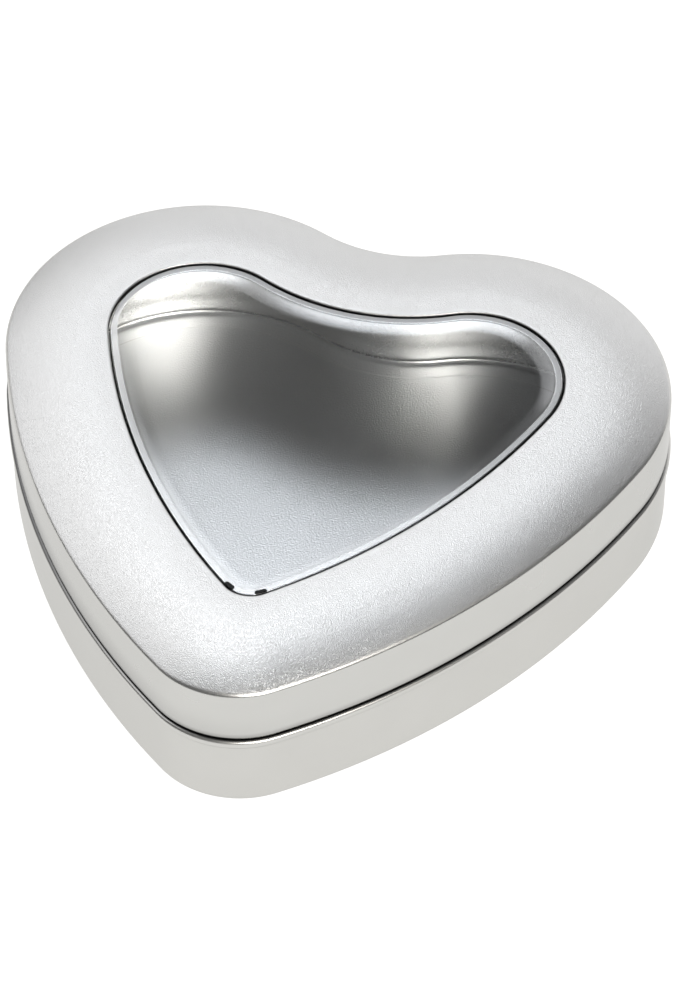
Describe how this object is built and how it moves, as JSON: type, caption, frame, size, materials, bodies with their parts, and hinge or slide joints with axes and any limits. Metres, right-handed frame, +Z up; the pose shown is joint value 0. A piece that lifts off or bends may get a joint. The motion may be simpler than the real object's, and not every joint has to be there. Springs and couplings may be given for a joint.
{
  "type": "window lid tin",
  "caption": "Heart-shaped drawn tinplate box with a domed lift-off lid and a clear plastic heart window, for sweets, gifts and keepsakes.",
  "frame": {"origin": "middle of the heart's outline, on the plane that the tin stands on", "axes": "+Z up, the way the lid lifts; the heart's tip points to -Y and its lobes to +Y; +X across the lobes"},
  "size_m": [0.151, 0.1458, 0.0387],
  "materials": {
    "base_tinplate": "satin tinplate, smooth wall outside, brighter inside",
    "lid_tinplate": "frosted tinplate crown with a fine grain, smoother skirt",
    "clear_sheet": "clear glossy formed plastic sheet",
    "adhesive": "milky set adhesive"
  },
  "bodies": {
    "base": {"base_pan": "base_tinplate"},
    "lid": {"lid_frame": "lid_tinplate", "window_pane": "clear_sheet", "window_adhesive": "adhesive"}
  },
  "joints": [
    {"name": "lid_lift", "type": "slide", "parent": "base", "child": "lid", "axis": [0, 0, 1], "range_m": [0, 0.05]}
  ]
}
